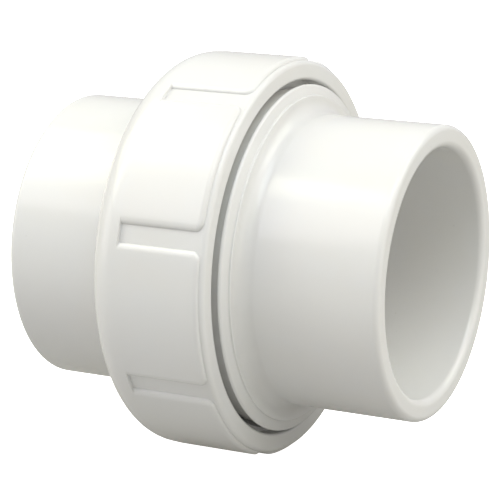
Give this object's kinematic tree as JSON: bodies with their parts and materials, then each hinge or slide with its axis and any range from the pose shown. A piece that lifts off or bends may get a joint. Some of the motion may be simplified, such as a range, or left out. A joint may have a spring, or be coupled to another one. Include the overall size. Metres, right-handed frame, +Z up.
{
  "type": "pipe union",
  "caption": "Socket union for plastic pipe: a round slotted nut draws a threaded body against a flanged tailpiece, sealed by an O-ring.",
  "frame": {"origin": "on the pipe axis, midway between the two socket mouths", "axes": "+X along the pipe axis from the flanged tailpiece to the threaded body, +Z up"},
  "size_m": [0.0978, 0.0982, 0.0982],
  "materials": {
    "tailpiece_pvc": "glossy white moulded PVC",
    "nut_pvc": "glossy white moulded PVC",
    "body_pvc": "glossy white moulded PVC",
    "epdm_rubber": "satin black EPDM rubber"
  },
  "bodies": {
    "tailpiece": {"flanged_tailpiece": "tailpiece_pvc"},
    "nut": {"union_nut": "nut_pvc"},
    "body": {"threaded_body": "body_pvc", "o_ring": "epdm_rubber"}
  },
  "joints": [
    {"name": "nut_turn", "type": "hinge", "parent": "tailpiece", "child": "nut", "pos_m": [-0.00425, 0, 0], "axis": [-1, 0, 0], "range_deg": [0, 900]},
    {"name": "body_draw", "type": "slide", "parent": "tailpiece", "child": "body", "axis": [1, 0, 0], "range_m": [0, 0.0128]}
  ],
  "couplings": [
    {"joint": "body_draw", "follows": "nut_turn", "m_per_rad": 0.00080851}
  ]
}
